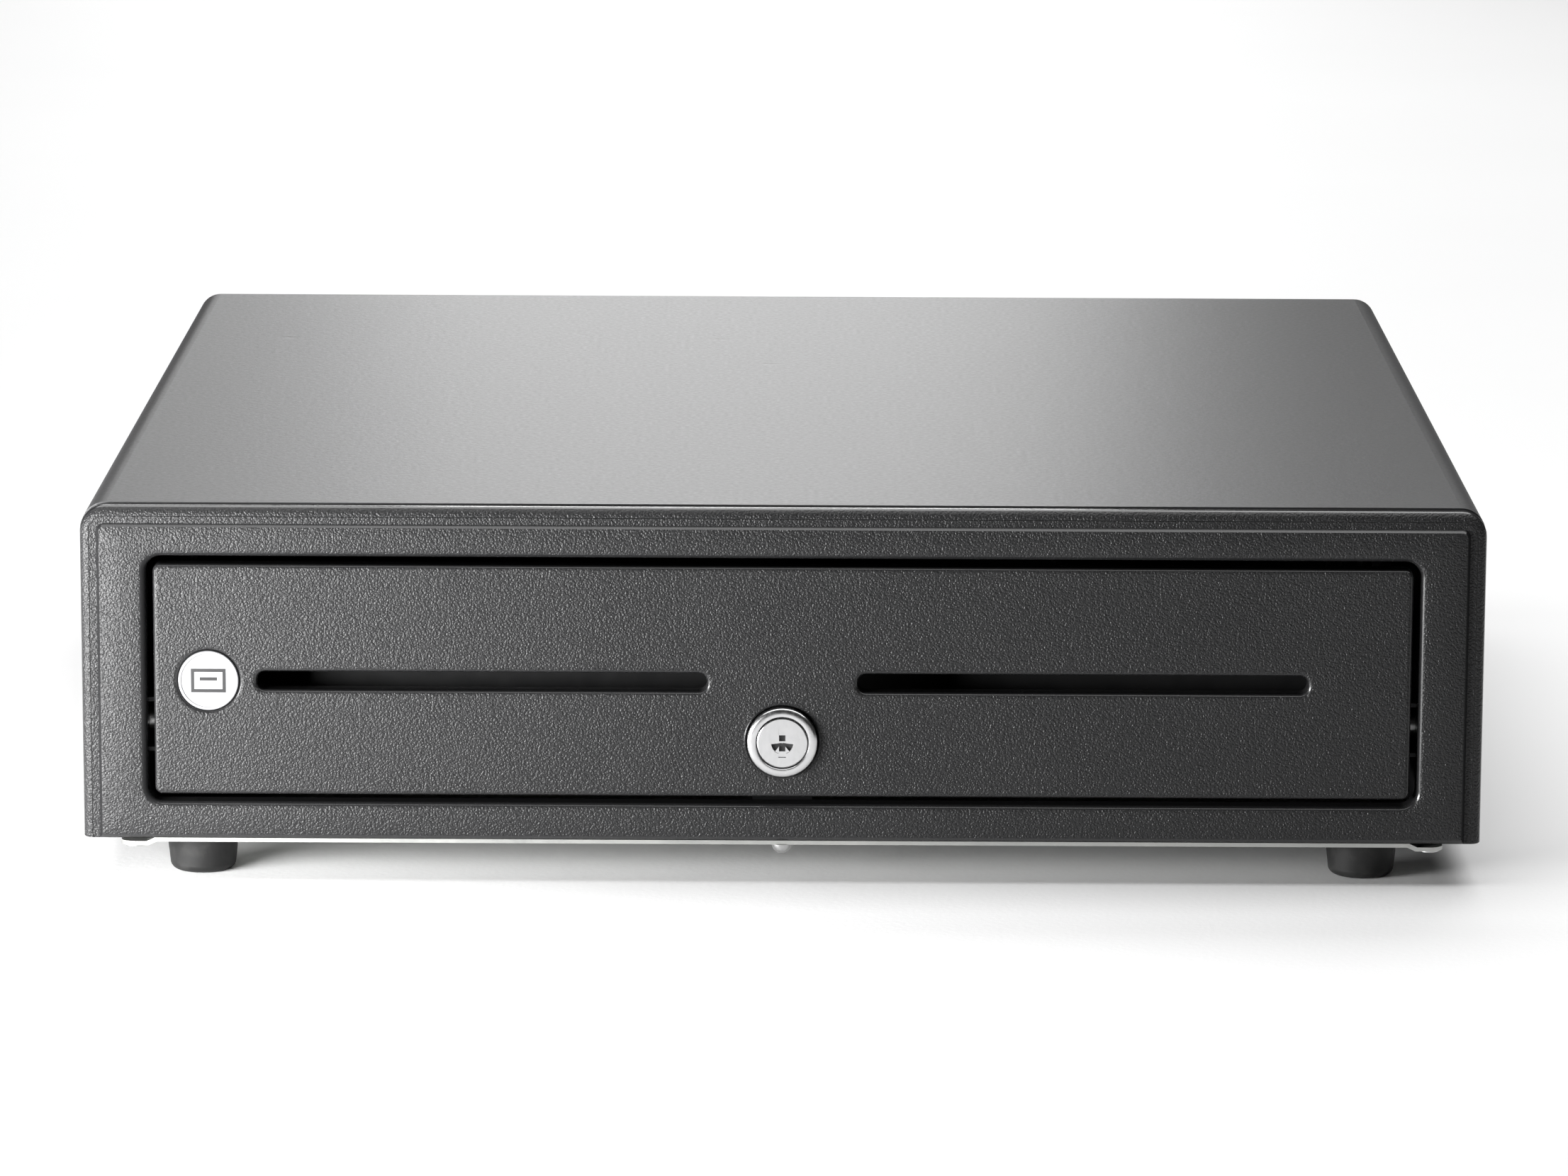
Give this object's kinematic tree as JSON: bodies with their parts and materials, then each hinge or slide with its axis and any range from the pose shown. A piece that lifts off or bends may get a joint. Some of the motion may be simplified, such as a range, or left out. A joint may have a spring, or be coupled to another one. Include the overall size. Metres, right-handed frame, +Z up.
{
  "type": "cash drawer",
  "caption": "Low steel cash drawer with a grained front bezel, key lock, media slots, roller slides and a till of note bays and coin cups.",
  "frame": {"origin": "middle of the footprint, on the surface the feet stand on", "axes": "+X to the right as seen from the front, -Y towards the user (the drawer opens that way), +Z up"},
  "size_m": [0.418, 0.42, 0.114],
  "materials": {
    "cover_paint": "fine-texture powder coat",
    "grained_plastic": "leather grain",
    "zinc_sheet": "zinc plated",
    "plated_steel": "bright zinc",
    "spring_wire": "drawn wire",
    "black_screws": "black oxide",
    "coil_tape": "wound tape",
    "black_plastic": "fine spark texture",
    "contact_gold": "gold flash",
    "lead_jacket": "smooth jacket",
    "foot_rubber": "moulded",
    "box_paint": "fine-texture powder coat",
    "badge_metal": "satin, printed rim",
    "lock_chrome": "polished",
    "nylon": "dyed black"
  },
  "bodies": {
    "housing": {"cover": "cover_paint", "rear_panel": "cover_paint", "front_bezel": "grained_plastic", "base_pan": "zinc_sheet", "latch_bracket": "zinc_sheet", "solenoid_frame": "zinc_sheet", "front_axles": "plated_steel", "latch_pin": "plated_steel", "spring_guide": "plated_steel", "foot_screws": "plated_steel", "pan_screws": "plated_steel", "kick_spring": "spring_wire", "cover_screws": "black_screws", "solenoid_coil": "coil_tape", "switch_body": "black_plastic", "drawer_port": "black_plastic", "port_contacts": "contact_gold", "wire_harness": "lead_jacket", "foot_front_left": "foot_rubber", "foot_front_right": "foot_rubber", "foot_rear_left": "foot_rubber", "foot_rear_right": "foot_rubber", "rail_support_left": "box_paint", "rail_support_right": "box_paint", "slide_rail_left": "box_paint", "slide_rail_right": "box_paint", "lock_strike": "box_paint"},
    "drawer": {"drawer_floor": "box_paint", "drawer_sides": "box_paint", "drawer_ends": "box_paint", "drawer_front": "grained_plastic", "badge": "badge_metal", "front_screws": "plated_steel", "lock_barrel": "lock_chrome", "lock_nut": "plated_steel", "drawer_rail_left": "zinc_sheet", "drawer_rail_right": "zinc_sheet", "rear_axles": "plated_steel", "till_tray": "black_plastic", "coin_tray": "black_plastic", "bill_dividers": "black_plastic", "clip_rod": "plated_steel", "clip_springs": "spring_wire", "striker": "zinc_sheet"},
    "lock_core": {"lock_plug": "lock_chrome", "lock_cam": "plated_steel", "cam_screw": "plated_steel"},
    "front_roller_left": {"front_roller_left": "nylon"},
    "front_roller_right": {"front_roller_right": "nylon"},
    "rear_roller_left": {"rear_roller_left": "nylon"},
    "rear_roller_right": {"rear_roller_right": "nylon"},
    "latch": {"latch_lever": "zinc_sheet", "latch_spring": "spring_wire"},
    "plunger": {"solenoid_plunger": "plated_steel"},
    "switch_leaf": {"switch_lever": "plated_steel"},
    "clip_1": {"bill_clip_1": "black_plastic"},
    "clip_2": {"bill_clip_2": "black_plastic"},
    "clip_3": {"bill_clip_3": "black_plastic"},
    "clip_4": {"bill_clip_4": "black_plastic"},
    "clip_5": {"bill_clip_5": "black_plastic"}
  },
  "joints": [
    {"name": "drawer_slide", "type": "slide", "parent": "housing", "child": "drawer", "axis": [0, -1, 0], "range_m": [0, 0.29]},
    {"name": "lock_turn", "type": "hinge", "parent": "drawer", "child": "lock_core", "pos_m": [0, -0.2, 0.0436], "axis": [0, -1, 0], "range_deg": [-45, 90]},
    {"name": "latch_pivot", "type": "hinge", "parent": "housing", "child": "latch", "pos_m": [0.02, 0.2, 0.0455], "axis": [0, 0, -1], "range_deg": [0, 14]},
    {"name": "plunger_pull", "type": "slide", "parent": "housing", "child": "plunger", "axis": [-1, 0, 0], "range_m": [0, 0.00344]},
    {"name": "switch_press", "type": "hinge", "parent": "housing", "child": "switch_leaf", "pos_m": [-0.05, 0.167, 0.04175], "axis": [0, 0, 1], "range_deg": [0, 12]},
    {"name": "clip_1_lift", "type": "hinge", "parent": "drawer", "child": "clip_1", "pos_m": [0, 0.1458, 0.078], "axis": [-1, 0, 0], "range_deg": [0, 40], "stiffness_Nm_per_rad": 0.05},
    {"name": "clip_2_lift", "type": "hinge", "parent": "drawer", "child": "clip_2", "pos_m": [0, 0.1458, 0.078], "axis": [-1, 0, 0], "range_deg": [0, 40], "stiffness_Nm_per_rad": 0.05},
    {"name": "clip_3_lift", "type": "hinge", "parent": "drawer", "child": "clip_3", "pos_m": [0, 0.1458, 0.078], "axis": [-1, 0, 0], "range_deg": [0, 40], "stiffness_Nm_per_rad": 0.05},
    {"name": "clip_4_lift", "type": "hinge", "parent": "drawer", "child": "clip_4", "pos_m": [0, 0.1458, 0.078], "axis": [-1, 0, 0], "range_deg": [0, 40], "stiffness_Nm_per_rad": 0.05},
    {"name": "clip_5_lift", "type": "hinge", "parent": "drawer", "child": "clip_5", "pos_m": [0, 0.1458, 0.078], "axis": [-1, 0, 0], "range_deg": [0, 40], "stiffness_Nm_per_rad": 0.05},
    {"name": "front_roller_left_spin", "type": "hinge", "parent": "housing", "child": "front_roller_left", "pos_m": [-0.1806, -0.19, 0.0462], "axis": [1, 0, 0], "continuous": true},
    {"name": "rear_roller_left_spin", "type": "hinge", "parent": "drawer", "child": "rear_roller_left", "pos_m": [-0.1869, 0.145, 0.0462], "axis": [1, 0, 0], "continuous": true},
    {"name": "front_roller_right_spin", "type": "hinge", "parent": "housing", "child": "front_roller_right", "pos_m": [0.1806, -0.19, 0.0462], "axis": [1, 0, 0], "continuous": true},
    {"name": "rear_roller_right_spin", "type": "hinge", "parent": "drawer", "child": "rear_roller_right", "pos_m": [0.1869, 0.145, 0.0462], "axis": [1, 0, 0], "continuous": true}
  ],
  "couplings": [
    {"joint": "latch_pivot", "follows": "plunger_pull", "rad_per_m": 71.02},
    {"joint": "front_roller_left_spin", "follows": "drawer_slide", "rad_per_m": 145.99},
    {"joint": "rear_roller_left_spin", "follows": "drawer_slide", "rad_per_m": 145.99},
    {"joint": "front_roller_right_spin", "follows": "drawer_slide", "rad_per_m": 145.99},
    {"joint": "rear_roller_right_spin", "follows": "drawer_slide", "rad_per_m": 145.99}
  ]
}
